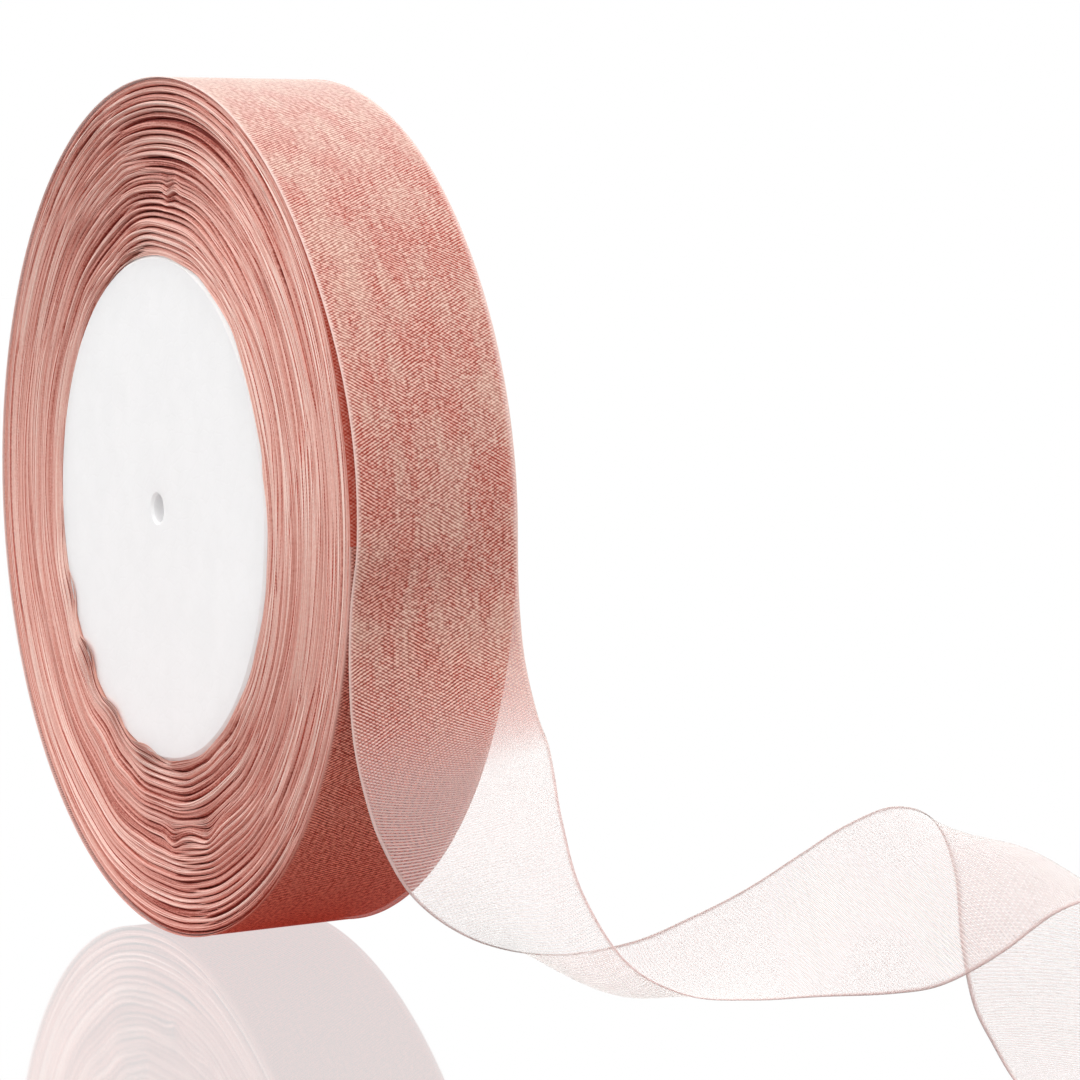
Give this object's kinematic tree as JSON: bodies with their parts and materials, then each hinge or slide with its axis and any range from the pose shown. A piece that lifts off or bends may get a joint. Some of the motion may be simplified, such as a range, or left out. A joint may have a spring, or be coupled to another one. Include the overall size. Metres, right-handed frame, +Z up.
{
  "type": "ribbon spool",
  "caption": "Roll of sheer organza ribbon wound on a plain white foam core, standing on its rim, with its last turn loose and a drawn-off tail that curls over beside it.",
  "frame": {"origin": "middle of the spindle hole through the foam core", "axes": "+Y along the spindle hole, towards the rear side of the roll; +Z up, with the roll standing on its rim; +X to the side where the ribbon is drawn off"},
  "size_m": [0.2366, 0.0742, 0.1253],
  "materials": {
    "foam": "fine-celled white polystyrene foam, dull",
    "tape": "clear adhesive tape",
    "wound_ribbon": "rose gold organza in many layers, soft sheen",
    "last_turn_ribbon": "rose gold organza over the roll, soft sheen",
    "sheer_ribbon": "single layer of sheer blush organza with woven selvedges"
  },
  "bodies": {
    "drawn_ribbon": {"last_turn": "last_turn_ribbon"},
    "roll": {"foam_core": "foam", "starter_tape": "tape", "first_turns": "wound_ribbon", "crimped_turns": "wound_ribbon", "middle_turns": "wound_ribbon", "outer_turns": "wound_ribbon", "smooth_turns": "wound_ribbon"},
    "tail": {"tail_drop": "sheer_ribbon", "tail_sweep": "sheer_ribbon"},
    "loose_end": {"tail_curl": "sheer_ribbon", "tail_end": "sheer_ribbon"}
  },
  "joints": [
    {"name": "roll_spin", "type": "hinge", "parent": "drawn_ribbon", "child": "roll", "pos_m": [0, 0, 0], "axis": [0, 1, 0], "continuous": true},
    {"name": "tail_lift", "type": "hinge", "parent": "drawn_ribbon", "child": "tail", "pos_m": [0.0628, 0, -0.008], "axis": [0, -1, 0], "range_deg": [0, 40]},
    {"name": "curl_open", "type": "hinge", "parent": "tail", "child": "loose_end", "pos_m": [0.11525, 0.02425, -0.04375], "axis": [0.7463, -0.3832, -0.5442], "range_deg": [0, 35]}
  ]
}
